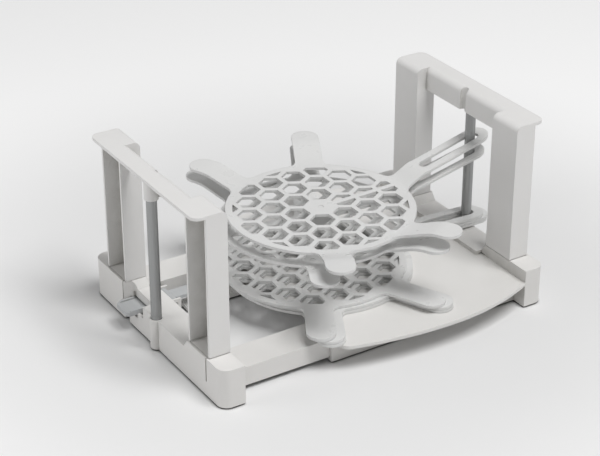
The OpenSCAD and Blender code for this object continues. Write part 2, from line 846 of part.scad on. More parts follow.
// A whole star, standing on z = 0 with its middle at the origin and its fork along +X
module star(fingers_up, fork_up, knee, slope) {
    half_w = finger_w / 2;
    linear_extrude(star_t) disc_plan();
    for (a = [near_finger_a, far_finger_a, -near_finger_a, -far_finger_a])
        rotate(a) arm(half_w, finger_r - half_w, finger_knee, fingers_up, 0);
    difference() {
        arm(fork_r, fork_nose, knee, fork_up, slope);
        translate([slot_start + slot_r, 0, -1]) cylinder(r = slot_r, h = far);
        translate([slot_nose, 0, -1]) cylinder(r = slot_r, h = far);
        slab(slot_start + slot_r, slot_nose, -slot_r, slot_r, -1, far);
    }
}

// Sets a star's underside at height z, turned about the rod and moved along its slot
module star_on_rod(z, turn, slide) {
    translate([rod_x, 0, z]) rotate(turn) translate([slide - fork_reach, 0, 0]) children();
}

module star_in_use() {
    star(finger_rise, fork_rise, fork_knee, fork_slope);
}

// A stored star lies flat, and only its fork climbs over the cross member
module stored_star(index) {
    z = stack_z + index * (star_t + stack_gap);
    star_on_rod(z, stored_turns[index], stored_slides[index]) star(0, stored_rise, stored_knee, 0);
}

module hold_down_star() color("lightgray") placed() {
    star_on_rod(hold_down_z - star_t, hold_down_turn, 0) star_in_use();
}

module separator_star() color("lightgray") placed() {
    star_on_rod(hold_down_z - star_drop - star_t, separator_turn, separator_slide) star_in_use();
}

module stored_star_1() color("lightgray") placed() {
    stored_star(0);
}

module stored_star_2() color("lightgray") placed() {
    stored_star(1);
}

module stored_star_3() color("lightgray") placed() {
    stored_star(2);
}

left_base_half();
right_base_half();
left_end_frame();
right_end_frame();
left_guide_rod();
right_guide_rod();
left_rod_screw();
right_rod_screw();
left_front_foot();
left_rear_foot();
right_front_foot();
right_rear_foot();
release_lever();
lever_pin();
lever_spring();
stop_screws();
hold_down_star();
separator_star();
stored_star_1();
stored_star_2();
stored_star_3();
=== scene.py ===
import json
import math
import bpy
from mathutils import Matrix, Vector


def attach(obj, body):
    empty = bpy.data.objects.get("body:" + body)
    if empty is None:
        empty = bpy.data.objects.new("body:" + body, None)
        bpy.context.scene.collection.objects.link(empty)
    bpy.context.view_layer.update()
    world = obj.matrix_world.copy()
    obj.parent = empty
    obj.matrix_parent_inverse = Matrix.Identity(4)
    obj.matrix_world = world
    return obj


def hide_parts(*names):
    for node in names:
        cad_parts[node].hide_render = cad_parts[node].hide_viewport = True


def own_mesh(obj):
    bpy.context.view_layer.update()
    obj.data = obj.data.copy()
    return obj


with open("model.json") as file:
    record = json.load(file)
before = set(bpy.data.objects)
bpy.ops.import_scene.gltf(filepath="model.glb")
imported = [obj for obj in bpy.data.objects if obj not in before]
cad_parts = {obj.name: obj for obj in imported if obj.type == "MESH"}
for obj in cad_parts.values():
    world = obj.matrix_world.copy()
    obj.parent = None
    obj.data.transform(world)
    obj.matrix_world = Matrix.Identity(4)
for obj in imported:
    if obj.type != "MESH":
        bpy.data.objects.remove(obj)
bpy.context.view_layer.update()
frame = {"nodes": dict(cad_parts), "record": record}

nodes = frame["nodes"]
print("plate rack: frame loaded")

# Sizes are in millimetres, measured from the middle between the two end frames
originShift = -4.4  # the rack's origin lies this far from that middle
past = 1.0  # a cutting shape goes this far past the face that it opens
bite = 0.2  # a joined shape sinks this far into its neighbour
inboard, outboard = 100.0, 160.0  # X of shapes that cut in from the rack's middle or out past its end
ground, sky = 0.0, 40.0  # heights that clear the base below and above
sharpTurn = 32.0  # an edge that turns by more degrees than this stays sharp
mergeWithin = 0.001  # points this near to each other are one
onPlace = 0.02  # an edge this near to a place lies on it


def mm(value):
    return value / 1000.0


def toMm(value):
    return value * 1000.0


def metres(point):
    return Vector([mm(v) for v in point])


def span(side, near, far):  # two Y places of one side, in rising order
    return sorted((side * near, side * far))


def perMetre(grainMm):  # texture scale that gives one grain in so many millimetres
    return 1000.0 / grainMm


def hexColour(code):  # sRGB hex to linear
    parts = [int(code[i:i + 2], 16) / 255 for i in (0, 2, 4)]
    return tuple(p / 12.92 if p <= 0.04045 else ((p + 0.055) / 1.055) ** 2.4 for p in parts) + (1.0,)


def addNode(tree, kind, settings, inputs):  # one shader node with its settings and its links
    node = tree.nodes.new(kind)
    for name, value in settings.items():
        setattr(node, name, value)
    for name, value in inputs.items():
        if isinstance(value, bpy.types.NodeSocket):
            tree.links.new(value, node.inputs[name])
        else:
            node.inputs[name].default_value = value
    return node


def newMaterial(name):
    material = bpy.data.materials.new(name)
    material.use_nodes = True
    material.node_tree.nodes.clear()
    return material, material.node_tree


def pick(piece):  # only this piece is selected
    if bpy.context.object and bpy.context.object.mode != "OBJECT":
        bpy.ops.object.mode_set(mode="OBJECT")
    bpy.ops.object.select_all(action="DESELECT")
    if piece:
        piece.select_set(True)
        bpy.context.view_layer.objects.active = piece


def fixPlace():  # the active piece's place, turn and scale go into its mesh
    bpy.ops.object.transform_apply(location=True, rotation=True, scale=True)


def newShape(name):  # the shape just added gets its name, and its mesh takes its place
    piece = bpy.context.object
    piece.name = name
    fixPlace()
    return piece


def block(name, low, high):
    pick(None)
    middle = [mm((a + b) / 2) for a, b in zip(low, high)]
    bpy.ops.mesh.primitive_cube_add(size=1, location=middle, scale=[mm(b - a) for a, b in zip(low, high)])
    return newShape(name)


def cylinder(name, middle, radius, length, turn, sides, ends="NGON"):
    pick(None)
    bpy.ops.mesh.primitive_cylinder_add(
        vertices=sides, radius=mm(radius), depth=mm(length), end_fill_type=ends,
        location=metres(middle), rotation=[math.radians(angle) for angle in turn])
    return newShape(name)


def column(name, at, radius, low, high, sides=64, ends="NGON"):  # upright cylinder
    return cylinder(name, (*at, (low + high) / 2), radius, high - low, (0, 0, 0), sides, ends)


def crossBar(name, at, radius, low, high):  # cylinder along Y, at X and Z
    return cylinder(name, (at[0], (low + high) / 2, at[1]), radius, high - low, (90, 0, 0), 40)


def workWith(piece, tool, operation):  # exact boolean with a tool that is used up
    step = piece.modifiers.new("step", "BOOLEAN")
    step.operation = operation
    step.solver = "EXACT"
    step.object = tool
    pick(piece)
    bpy.ops.object.modifier_apply(modifier="step")
    bpy.data.objects.remove(tool)


def cutAway(piece, *tools):
    for tool in tools:
        workWith(piece, tool, "DIFFERENCE")
    return piece


def buildOn(piece, *extras):
    for extra in extras:
        workWith(piece, extra, "UNION")
    return piece


def keepInside(piece, limit):
    workWith(piece, limit, "INTERSECT")
    return piece


def selectEdges(piece, **place):  # straight edges lying at these X, Y or Z places
    pick(piece)
    bpy.ops.object.mode_set(mode="EDIT")
    bpy.ops.mesh.select_mode(type="EDGE")
    bpy.ops.mesh.select_all(action="DESELECT")
    bpy.ops.object.mode_set(mode="OBJECT")
    wanted = [("xyz".index(axis), value) for axis, value in place.items()]
    for edge in piece.data.edges:
        ends = [piece.data.vertices[i].co for i in edge.vertices]
        edge.select = all(abs(toMm(end[axis]) - value) < onPlace for end in ends for axis, value in wanted)


def roundEdge(piece, radius, segments=8, **place):  # a large radius along chosen edges
    selectEdges(piece, **place)
    bpy.ops.object.mode_set(mode="EDIT")
    bpy.ops.mesh.bevel(offset=mm(radius), segments=segments, affect="EDGES")
    bpy.ops.object.mode_set(mode="OBJECT")
    return piece


def editAll(piece):  # edit mode with the whole mesh selected
    pick(piece)
    bpy.ops.object.mode_set(mode="EDIT")
    bpy.ops.mesh.select_mode(type="VERT")
    bpy.ops.mesh.select_all(action="SELECT")


def mergeMesh(piece):
    editAll(piece)
    bpy.ops.mesh.remove_doubles(threshold=mm(mergeWithin))
    bpy.ops.mesh.normals_make_consistent(inside=False)
    bpy.ops.object.mode_set(mode="OBJECT")


def smoothMesh(piece):  # round walls are smooth and wide faces stay flat
    mergeMesh(piece)
    bpy.ops.object.shade_smooth_by_angle(angle=math.radians(sharpTurn))
    flat = piece.modifiers.new("flatFaces", "WEIGHTED_NORMAL")
    flat.keep_sharp = True
    bpy.ops.object.modifier_apply(modifier="flatFaces")
    return piece


def softenEdges(piece, radius, segments=2):  # a small radius on every sharp edge of a plain shape
    mergeMesh(piece)
    step = piece.modifiers.new("edgeRadius", "BEVEL")
    step.limit_method = "ANGLE"
    step.angle_limit = math.radians(sharpTurn)
    step.width = mm(radius)
    step.segments = segments
    step.use_clamp_overlap = False
    pick(piece)
    bpy.ops.object.modifier_apply(modifier="edgeRadius")
    return smoothMesh(piece)


def joinPieces(piece, *others):
    pick(piece)
    for other in others:
        other.select_set(True)
    bpy.ops.object.join()
    return piece


def copyPiece(source, name):
    pick(source)
    bpy.ops.object.duplicate(linked=False)
    piece = bpy.context.object
    piece.name = name
    piece.data.name = name
    return piece


def turnToLeft(piece):  # the left-hand twin of a shape drawn at the right
    pick(piece)
    piece.scale = (-1, 1, 1)
    fixPlace()
    editAll(piece)
    bpy.ops.mesh.normals_make_consistent(inside=False)
    bpy.ops.object.mode_set(mode="OBJECT")
    return piece


# The photograph's viewing angle
cameraSetup = {
    "aim": (-21.2, 0.0, 64.76),  # point in the middle of the picture
    "turn": -32.078,  # degrees round the rack, from the front
    "tilt": 28.289,  # degrees above the table
    "distance": 1328.9,
    "lens": 106.03,
    "sensor": 36.0,
    "clipFrom": 50.0,
}


def placeCamera():
    turn, tilt = math.radians(cameraSetup["turn"]), math.radians(cameraSetup["tilt"])
    back = Vector((math.sin(turn) * math.cos(tilt), -math.cos(turn) * math.cos(tilt), math.sin(tilt)))
    bpy.ops.object.camera_add(location=metres(cameraSetup["aim"]) + back * mm(cameraSetup["distance"]))
    view = bpy.context.object
    view.name = "studioCamera"
    view.rotation_euler = back.to_track_quat("Z", "Y").to_euler()
    view.data.lens = cameraSetup["lens"]
    view.data.sensor_width = cameraSetup["sensor"]
    view.data.clip_start = mm(cameraSetup["clipFrom"])
    bpy.context.scene.camera = view


placeCamera()

# Pale floor, a large soft box high and to the right, and a weak one low at the left
studio = {
    "floor": "E8E8E8",
    "fadeFrom": 150.0,
    "fadeTo": 480.0,
    "floorFar": "F4F4F4",  # painted shade: the sweep's colour is darker round the rack and gets lighter away from it
    "farGlow": 0.14,  # and the camera sees it fade into a white backdrop
    "floorSize": 12000.0,
    "floorRough": 0.85,
    "floorPolish": 0.2,
    # painted shade: the floor's colour in the gap under the blocks
    "gap": "3C3A36",
    "gapReach": 4.0,
    "gapOpen": 0.72,  # in a gap the floor darkens from this openness
    "gapShut": 0.3,  # to this one
    "gapShade": 0.9,
    "ambient": 0.21,
    "walls": 0.82,  # what the metal and the polish mirror
    "backdrop": 1.0,  # what the camera sees past the floor: white
    "lampAim": (0.0, 0.0, 60.0),
    "softBoxes": {
        "highSoftBox": {"at": (340.0, -1290.0, 2880.0), "size": 1500.0, "power": 74.0},
        "leftSoftBox": {"at": (-1100.0, 300.0, 420.0), "size": 600.0, "power": 2.9},
    },
}
whiteLight = (1.0, 1.0, 1.0, 1.0)
mixA, mixB, mixOut = 6, 7, 2  # the colour sockets of a mix node


def makeFloor():
    s = studio
    pick(None)
    bpy.ops.mesh.primitive_grid_add(
        x_subdivisions=8, y_subdivisions=8, size=mm(s["floorSize"]), location=(0, 0, 0))
    floor = bpy.context.object
    floor.name = "studioFloor"
    material, tree = newMaterial("paperSweep")
    where = addNode(tree, "ShaderNodeTexCoord", {}, {})
    reach = addNode(tree, "ShaderNodeVectorMath", {"operation": "LENGTH"}, {0: where.outputs["Object"]})
    # Painted shade: the floor's colour is darker near the rack and lighter away from it
    fade = addNode(tree, "ShaderNodeMapRange", {"interpolation_type": "SMOOTHSTEP"}, {
        "Value": reach.outputs["Value"], "From Min": mm(s["fadeFrom"]), "From Max": mm(s["fadeTo"])})
    tone = addNode(tree, "ShaderNodeMix", {"data_type": "RGBA"}, {
        "Factor": fade.outputs["Result"], mixA: hexColour(s["floor"]), mixB: hexColour(s["floorFar"])})
    # Painted shade: the floor's colour darkens in the narrow gap under the rack's blocks, where hardly any light
    # gets in
    gap = addNode(tree, "ShaderNodeAmbientOcclusion", {"samples": 8}, {"Distance": mm(s["gapReach"])})
    closed = addNode(tree, "ShaderNodeMapRange", {}, {
        "Value": gap.outputs["AO"],
        "From Min": s["gapOpen"], "From Max": s["gapShut"], "To Max": s["gapShade"]})
    shaded = addNode(tree, "ShaderNodeMix", {"data_type": "RGBA"}, {
        "Factor": closed.outputs["Result"], mixA: tone.outputs[mixOut], mixB: hexColour(s["gap"])})
    paper = addNode(tree, "ShaderNodeBsdfPrincipled", {}, {
        "Base Color": shaded.outputs[mixOut],
        "Roughness": s["floorRough"], "Specular IOR Level": s["floorPolish"]})
    # Only the camera sees the far floor glow
    ray = addNode(tree, "ShaderNodeLightPath", {}, {})
    glow = addNode(tree, "ShaderNodeMath", {"operation": "MULTIPLY"}, {
        0: fade.outputs["Result"], 1: ray.outputs["Is Camera Ray"]})
    level = addNode(tree, "ShaderNodeMath", {"operation": "MULTIPLY"}, {
        0: glow.outputs["Value"], 1: s["farGlow"]})
    haze = addNode(tree, "ShaderNodeEmission", {}, {"Color": whiteLight, "Strength": level.outputs["Value"]})
    both = addNode(tree, "ShaderNodeAddShader", {}, {0: paper.outputs["BSDF"], 1: haze.outputs["Emission"]})
    addNode(tree, "ShaderNodeOutputMaterial", {}, {"Surface": both.outputs["Shader"]})
    floor.data.materials.append(material)


def lightStudio():
    s = studio
    world = bpy.data.worlds.new("studioAir")
    bpy.context.scene.world = world
    world.use_nodes = True
    tree = world.node_tree
    tree.nodes.clear()
    ray = addNode(tree, "ShaderNodeLightPath", {}, {})
    walls = addNode(tree, "ShaderNodeMapRange", {}, {
        "Value": ray.outputs["Is Glossy Ray"], "To Min": s["ambient"], "To Max": s["walls"]})
    seen = addNode(tree, "ShaderNodeMapRange", {}, {
        "Value": ray.outputs["Is Camera Ray"], "To Min": walls.outputs["Result"], "To Max": s["backdrop"]})
    air = addNode(tree, "ShaderNodeBackground", {}, {"Color": whiteLight, "Strength": seen.outputs["Result"]})
    addNode(tree, "ShaderNodeOutputWorld", {}, {"Surface": air.outputs["Background"]})
    for name, box in s["softBoxes"].items():
        at = metres(box["at"])
        bpy.ops.object.light_add(type="AREA", location=at)
        lamp = bpy.context.object
        lamp.name = name
        lamp.data.shape = "SQUARE"
        lamp.data.size = mm(box["size"])
        lamp.data.energy = box["power"]
        lamp.visible_camera = False
        lamp.rotation_euler = (at - metres(s["lampAim"])).to_track_quat("Z", "Y").to_euler()
    bpy.context.scene.view_settings.view_transform = "Standard"


makeFloor()
lightStudio()
print("plate rack: camera and studio ready")

# Moulded plastics: one recipe, with its own colour and polish for each moulding
plastics = {
    "sparkGrainedWhiteAbs": {
        "light": "E6E5E4", "dark": "DFDEDC", "dustAndShade": "8F8D82",
        "rough": (0.3, 0.42), "grain": 0.9, "grainDepth": 0.035, "edge": 0.45,
    },
    "sparkGrainedBaseAbs": {
        "light": "E4E2E0", "dark": "DCDBD8", "dustAndShade": "8E8C82",
        "rough": (0.32, 0.44), "grain": 1.0, "grainDepth": 0.045, "edge": 0.45,
    },
    "semiGlossStarAbs": {
        "light": "E0E0DF", "dark": "D8D8D7", "dustAndShade": "85857F",
        "rough": (0.26, 0.36), "grain": 1.3, "grainDepth": 0.02, "edge": 0.45,
    },
    "sparkGrainedGreyAbs": {
        "light": "BEC0C1", "dark": "B4B6B7", "dustAndShade": "6E6D66",
        "rough": (0.34, 0.46), "grain": 0.9, "grainDepth": 0.05, "edge": 0.4,
    },
}
mouldMarks = {  # sizes of the marks that all the mouldings share
    "drift": 48.0, "shine": 11.0, "sink": 32.0, "sinkDepth": 0.5,
    # the dust-and-shade marks darken corners and joints: partly dust, partly painted shade
    "dustAndShadeReach": 26.0, "dustAndShadeOpen": 0.8, "dustAndShadeShut": 0.15, "dustAndShadeMost": 1.3, "dustAndShadeSpeck": 9.0,
}
noiseLow, noiseHigh = 0.3, 0.7  # a noise texture seldom leaves this range


def mouldedPlastic(name):
    look, marks = plastics[name], mouldMarks
    material, tree = newMaterial(name)
    where = addNode(tree, "ShaderNodeTexCoord", {}, {}).outputs["Object"]
    # Uneven melt and cooling: the white drifts a little from place to place
    drift = addNode(tree, "ShaderNodeTexNoise", {}, {
        "Vector": where, "Scale": perMetre(marks["drift"]), "Detail": 3.0, "Roughness": 0.55})
    white = addNode(tree, "ShaderNodeMix", {"data_type": "RGBA"}, {
        "Factor": drift.outputs["Fac"], mixA: hexColour(look["light"]), mixB: hexColour(look["dark"])})
    # Dust and painted shade: corners and joints are darkened towards a dust colour, partly dust and partly
    # painted shade
    corners = addNode(tree, "ShaderNodeAmbientOcclusion", {"samples": 6, "inside": False, "only_local": True}, {
        "Distance": mm(marks["dustAndShadeReach"])})
    speckle = addNode(tree, "ShaderNodeTexNoise", {}, {
        "Vector": where, "Scale": perMetre(marks["dustAndShadeSpeck"]), "Detail": 3.0})
    closed = addNode(tree, "ShaderNodeMapRange", {}, {
        "Value": corners.outputs["AO"], "From Min": marks["dustAndShadeOpen"], "From Max": marks["dustAndShadeShut"],
        "To Min": 0.0, "To Max": marks["dustAndShadeMost"]})
    patchy = addNode(tree, "ShaderNodeMath", {"operation": "MULTIPLY"}, {
        0: closed.outputs["Result"], 1: speckle.outputs["Fac"]})
    dustedAndShaded = addNode(tree, "ShaderNodeMix", {"data_type": "RGBA"}, {
        "Factor": patchy.outputs["Value"], mixA: white.outputs[mixOut], mixB: hexColour(look["dustAndShade"])})
    # Spark-eroded mould grain breaks the shine; real grain is 0.1 mm, drawn coarser so that it shows
    grain = addNode(tree, "ShaderNodeTexNoise", {}, {
        "Vector": where, "Scale": perMetre(look["grain"]), "Detail": 2.0})
    shine = addNode(tree, "ShaderNodeTexNoise", {}, {
        "Vector": where, "Scale": perMetre(marks["shine"]), "Detail": 4.0})
    polish = addNode(tree, "ShaderNodeMapRange", {}, {
        "Value": shine.outputs["Fac"], "From Min": noiseLow, "From Max": noiseHigh,
        "To Min": look["rough"][0], "To Max": look["rough"][1]})
    # Every edge of the moulding has a small radius that catches the light
    edges = addNode(tree, "ShaderNodeBevel", {"samples": 6}, {"Radius": mm(look["edge"])})
    # Sink over ribs and walls leaves long shallow waves
    sink = addNode(tree, "ShaderNodeTexNoise", {}, {
        "Vector": where, "Scale": perMetre(marks["sink"]), "Detail": 1.0})
    waves = addNode(tree, "ShaderNodeBump", {}, {
        "Height": sink.outputs["Fac"], "Distance": mm(marks["sinkDepth"]), "Strength": 0.5,
        "Normal": edges.outputs["Normal"]})
    rough = addNode(tree, "ShaderNodeBump", {}, {
        "Height": grain.outputs["Fac"], "Distance": mm(look["grainDepth"]), "Strength": 0.6,
        "Normal": waves.outputs["Normal"]})
    shell = addNode(tree, "ShaderNodeBsdfPrincipled", {}, {
        "Base Color": dustedAndShaded.outputs[mixOut], "Roughness": polish.outputs["Result"],
        "Normal": rough.outputs["Normal"]})
    addNode(tree, "ShaderNodeOutputMaterial", {}, {"Surface": shell.outputs["BSDF"]})
    return material


metals = {
    "drawnSatinAluminium": {
        "light": "A6A7A6", "dark": "959697", "rough": (0.38, 0.5),
        "stretch": (1.0, 1.0, 0.02), "line": 0.35, "lineDepth": 0.02,
    },
    "turnedZincSteel": {
        "light": "BEBEBB", "dark": "A5A6A5", "rough": (0.22, 0.36),
        "stretch": (1.0, 1.0, 1.0), "line": 0.8, "lineDepth": 0.02,
    },
}


def workedMetal(name):
    look = metals[name]
    material, tree = newMaterial(name)
    where = addNode(tree, "ShaderNodeTexCoord", {}, {}).outputs["Object"]
    # Drawing leaves fine lines along the tube, which stretch the highlight
    along = addNode(tree, "ShaderNodeMapping", {}, {"Vector": where, "Scale": look["stretch"]})
    lines = addNode(tree, "ShaderNodeTexNoise", {}, {
        "Vector": along.outputs["Vector"], "Scale": perMetre(look["line"]), "Detail": 3.0})
    tone = addNode(tree, "ShaderNodeMix", {"data_type": "RGBA"}, {
        "Factor": lines.outputs["Fac"], mixA: hexColour(look["light"]), mixB: hexColour(look["dark"])})
    polish = addNode(tree, "ShaderNodeMapRange", {}, {
        "Value": lines.outputs["Fac"], "From Min": noiseLow, "From Max": noiseHigh,
        "To Min": look["rough"][0], "To Max": look["rough"][1]})
    scratch = addNode(tree, "ShaderNodeBump", {}, {
        "Height": lines.outputs["Fac"], "Distance": mm(look["lineDepth"]), "Strength": 0.5})
    metal = addNode(tree, "ShaderNodeBsdfPrincipled", {}, {
        "Base Color": tone.outputs[mixOut], "Roughness": polish.outputs["Result"],
        "Normal": scratch.outputs["Normal"], "Metallic": 1.0})
    addNode(tree, "ShaderNodeOutputMaterial", {}, {"Surface": metal.outputs["BSDF"]})
    return material


rubber = {"dark": "3E3E3D", "bloom": "545452", "bloomSize": 3.0, "pore": 0.5, "poreDepth": 0.05, "rough": 0.74}


def mouldedRubber(name):
    material, tree = newMaterial(name)
    where = addNode(tree, "ShaderNodeTexCoord", {}, {}).outputs["Object"]
    # Wax comes out of the rubber as a pale bloom
    bloom = addNode(tree, "ShaderNodeTexNoise", {}, {
        "Vector": where, "Scale": perMetre(rubber["bloomSize"]), "Detail": 5.0})
    tone = addNode(tree, "ShaderNodeMix", {"data_type": "RGBA"}, {
        "Factor": bloom.outputs["Fac"], mixA: hexColour(rubber["dark"]), mixB: hexColour(rubber["bloom"])})
    pores = addNode(tree, "ShaderNodeTexNoise", {}, {
        "Vector": where, "Scale": perMetre(rubber["pore"]), "Detail": 2.0})
    bumps = addNode(tree, "ShaderNodeBump", {}, {
        "Height": pores.outputs["Fac"], "Distance": mm(rubber["poreDepth"]), "Strength": 0.6})
    skin = addNode(tree, "ShaderNodeBsdfPrincipled", {}, {
        "Base Color": tone.outputs[mixOut], "Roughness": rubber["rough"], "Normal": bumps.outputs["Normal"]})
    addNode(tree, "ShaderNodeOutputMaterial", {}, {"Surface": skin.outputs["BSDF"]})
    return material


finishes = {name: mouldedPlastic(name) for name in plastics}
finishes.update({name: workedMetal(name) for name in metals})
finishes["nitrileRubber"] = mouldedRubber("nitrileRubber")
finishBySlot = {
    "base_plastic": "sparkGrainedBaseAbs",
    "frame_plastic": "sparkGrainedWhiteAbs",
    "star_plastic": "semiGlossStarAbs",
    "lever_plastic": "sparkGrainedGreyAbs",
    "rod_metal": "drawnSatinAluminium",
    "steel": "turnedZincSteel",
    "foot_rubber": "nitrileRubber",
}


def finish(piece, slotName):
    piece.data.materials.clear()
    piece.data.materials.append(finishes[finishBySlot[slotName]])


def settle(piece, body, cadName, slotName):  # the finished piece takes its place, body and finish
    pick(piece)
    piece.location.x += mm(originShift)
    fixPlace()
    finish(piece, slotName)
    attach(piece, body)
    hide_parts(cadName)


for part in frame["record"]["subparts"]:
    finish(nodes[part["node"]], part["material_slot"])
print("plate rack: finishes ready")

# End frame: two channel uprights, the bar between them and the lip over both
endFrame = {
    "face": 123.2, "flange": 140.0, "wall": 2.0,
    "window": 48.5, "side": 78.0, "foot": 32.0, "top": 144.0,
    "lipEdge": 149.2, "lipUnder": 141.6, "lipCorner": 6.5,
    "topRound": 5.0, "bar": 131.8, "barLow": 125.5, "barLap": 0.5, "barHollow": 60.0,
    "notchAt": 132.4, "notchRadius": 3.6,
    "ringTrim": {"half": 20.0, "low": 100.0, "high": 150.0},
    "rodAt": 140.3, "rodBore": 4.05, "boreFrom": 100.0, "rodTop": 139.0, "bossRadius": 5.3, "bossLow": 123.6,
    "tenonInset": 1.6, "tenonWall": 1.4, "tenonLow": 12.0, "tenonMouth": 5.0,
}


def tenonShape(side, gap, low, high):  # channel that stands in the base block
    f = endFrame
    inset, wall = f["tenonInset"] - gap, f["tenonWall"] + 2 * gap
    near, far = span(side, f["window"] + inset, f["side"] - inset)
    outer = block("tenon", (f["face"] + inset, near, low), (f["flange"] - inset, far, high))
    return cutAway(outer, block("tenonHollow", (f["face"] + inset + wall, near + wall, low - past),
                                (f["flange"] + f["tenonMouth"], far - wall, high + past)))


def makeUpright(side):
    f = endFrame
    near, far = span(side, f["window"], f["side"])
    shell = block("upright", (f["face"], near, f["foot"]), (f["flange"], far, f["top"]))
    roundEdge(shell, f["topRound"], x=f["face"], z=f["top"])
    hollow = block("channel", (f["face"] + f["wall"], near + f["wall"], f["foot"] - past),
                   (f["flange"] + past, far - f["wall"], f["lipUnder"]))
    roundEdge(hollow, f["topRound"] - f["wall"], x=f["face"] + f["wall"], z=f["lipUnder"])
    cutAway(shell, hollow)
    return buildOn(shell, tenonShape(side, 0.0, f["tenonLow"], f["foot"] + bite))


def makeTopBar():
    f = endFrame
    bar = block("bar", (f["bar"], -f["window"] - f["barLap"], f["barLow"]),
                (f["flange"], f["window"] + f["barLap"], f["top"]))
    roundEdge(bar, f["topRound"], x=f["bar"], z=f["top"])
    under = block("barHollow", (f["bar"] + f["wall"], -f["barHollow"], f["barLow"] - past),
                  (f["flange"] + past, f["barHollow"], f["lipUnder"]))
    roundEdge(under, f["topRound"] - f["wall"], x=f["bar"] + f["wall"], z=f["lipUnder"])
    return cutAway(bar, under)


def makeEndFrame(name):
    f = endFrame
    lip = block(name, (f["face"] + f["topRound"], -f["side"], f["lipUnder"]),
                (f["lipEdge"], f["side"], f["top"]))
    for side in (-1, 1):
        roundEdge(lip, f["lipCorner"], x=f["lipEdge"], y=side * f["side"])
    cutAway(lip, block("windowOut", (f["face"], -f["window"], f["lipUnder"] - past),
                       (f["bar"] + f["topRound"], f["window"], f["top"] + past)))
    bar = makeTopBar()
    ring = column("notchWall", (f["notchAt"], 0), f["notchRadius"] + f["wall"],
                  f["barLow"], f["lipUnder"] + bite)
    trim = f["ringTrim"]
    cutAway(ring, block("ringTrim", (inboard, -trim["half"], trim["low"]),
                        (f["bar"] + f["wall"] / 2, trim["half"], trim["high"])))
    boss = column("rodBoss", (f["rodAt"], 0), f["bossRadius"], f["bossLow"], f["lipUnder"] + bite)
    buildOn(lip, makeUpright(-1), makeUpright(1), bar, ring, boss)
    cutAway(lip, column("notch", (f["notchAt"], 0), f["notchRadius"], f["barLow"] - past, f["top"] + past),
            block("notchMouth", (inboard, -f["notchRadius"], f["barLow"] - past),
                  (f["notchAt"], f["notchRadius"], f["top"] + past)),
            column("rodBore", (f["rodAt"], 0), f["rodBore"], f["boreFrom"], f["rodTop"]))
    return smoothMesh(lip)


rightFrame = makeEndFrame("rightEndFrame")
leftFrame = turnToLeft(copyPiece(rightFrame, "leftEndFrame"))
settle(rightFrame, "right_half", "right_end_frame", "frame_plastic")
settle(leftFrame, "left_half", "left_end_frame", "frame_plastic")
print("plate rack: end frames made")

# Cross member: a block under each upright, low between them
crossMember = {
    "face": 123.2, "wallAt": 141.8, "middle": 118.0, "middleLap": 3.0, "flange": 140.0,
    "blockEnd": 98.5, "window": 48.5, "ramp": 4.8,
    "bottom": 1.2, "top": 32.0, "middleTop": 25.5, "corner": 8.0, "wall": 2.4,
    "middleHollow": 47.8, "endHollow": 78.5,
    "socket": {"near": 53.5, "far": 73.0, "inset": 5.0, "gap": 0.15},
    "footAt": (132.5, 88.25), "footSeat": 6.1, "footDepth": 2.9, "postRadius": 7.6,
    "bossTop": 26.0, "bossHole": 5.2, "bossEdge": 0.6,
    "rodLow": 12.0, "screwHole": 2.15, "screwRecess": 3.4, "recessTop": 4.0,
    "seam": 0.45,  # groove where the moulded edges of block and upright meet
    "relief": {"rear": 75.75, "front": -50.75, "wide": 1.3, "low": 13.0, "out": 150.0},  # a slot in each block
}


def makeCrossMember(name, reliefSide):  # drawn at the right-hand end, with its edges still sharp
    c = crossMember
    body = block(name, (c["face"], -c["blockEnd"], c["bottom"]), (c["wallAt"], c["blockEnd"], c["top"]))
    for side in (-1, 1):
        roundEdge(body, c["corner"], x=c["wallAt"], y=side * c["blockEnd"])
    low = c["window"] - c["ramp"]
    dipTop = 2 * c["top"] - c["middleTop"]
    dip = block("dip", (inboard, -low, c["middleTop"]), (outboard, low, dipTop))
    selectEdges(dip, z=dipTop)
    bpy.ops.object.mode_set(mode="EDIT")
    bpy.ops.transform.resize(value=(1, (low + 2 * c["ramp"]) / low, 1))  # sloping shoulders
    bpy.ops.object.mode_set(mode="OBJECT")
    cutAway(body, dip)
    buildOn(body, block("middle", (c["middle"], -low, c["bottom"]),
                        (c["face"] + c["middleLap"], low, c["middleTop"])))
    innerWall, innerTop = c["wallAt"] - c["wall"], c["top"] - c["wall"]
    cutAway(body, block("middleHollow", (c["middle"] + c["wall"], -c["middleHollow"], ground),
                        (innerWall, c["middleHollow"], c["middleTop"] - c["wall"])))
    for side in (-1, 1):
        shapeBlock(body, side, innerWall, innerTop)
        relief = c["relief"]
        at = reliefSide * (relief["rear"] if side > 0 else relief["front"])
        cutAway(body, block("relief", (c["flange"], at - relief["wide"] / 2, relief["low"]),
                            (relief["out"], at + relief["wide"] / 2, sky)))
    return cutAway(body, column("bossHole", (endFrame["rodAt"], 0), c["bossHole"], ground, sky))


